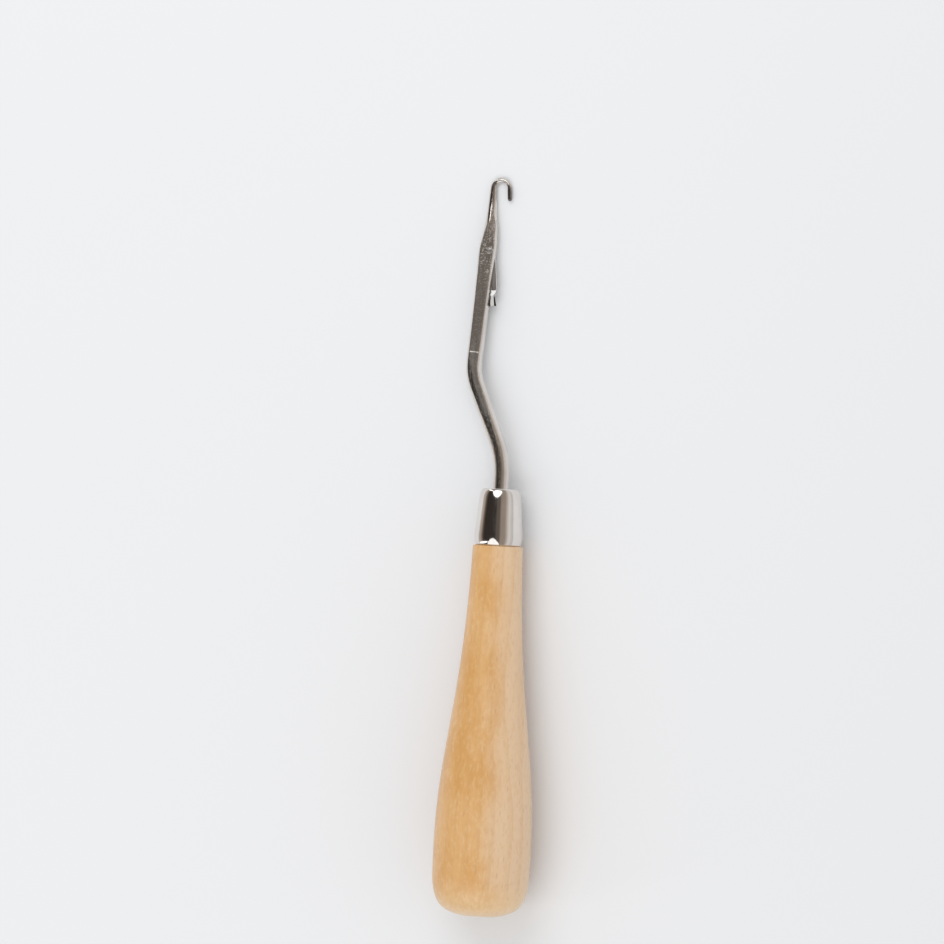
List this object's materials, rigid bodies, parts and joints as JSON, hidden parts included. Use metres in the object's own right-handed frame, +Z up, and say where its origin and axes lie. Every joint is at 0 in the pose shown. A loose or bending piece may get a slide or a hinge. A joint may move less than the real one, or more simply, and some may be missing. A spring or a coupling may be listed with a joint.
{
  "type": "latch hook tool",
  "caption": "Latch hook hand tool for rug yarn: turned wooden handle, metal ferrule, cranked steel shank with a hook and a small hinged latch.",
  "frame": {"origin": "centre of the bounding box at the table's surface, with the tool lying on the belly of its handle and on both sides of its hook", "axes": "+Y from the butt towards the hook, level with the table; +X towards the open side of the hook; +Z up from the table. The tool's own axis dips 4.2 degrees towards the hook, and the plane of the hook is 0.9 degrees off level"},
  "size_m": [0.0212, 0.1598, 0.0217],
  "materials": {
    "beech": "turned, sanded and clear lacquered beech",
    "plated_cup": "bright nickel plate on a drawn cup",
    "shank_steel": "nickel plated steel wire, pressed flat and lightly tumbled",
    "latch_steel": "nickel plated stamped steel",
    "rivet_steel": "peened steel pin, ground nearly flush"
  },
  "bodies": {
    "tool": {"handle": "beech", "ferrule": "plated_cup", "shank": "shank_steel", "latch_rivet": "rivet_steel"},
    "latch": {"latch": "latch_steel"}
  },
  "joints": [
    {"name": "latch_pivot", "type": "hinge", "parent": "tool", "child": "latch", "pos_m": [-0.0052, 0.06407, 0.00163], "axis": [0.0166, 0.0727, 0.9972], "range_deg": [0, 156]}
  ]
}
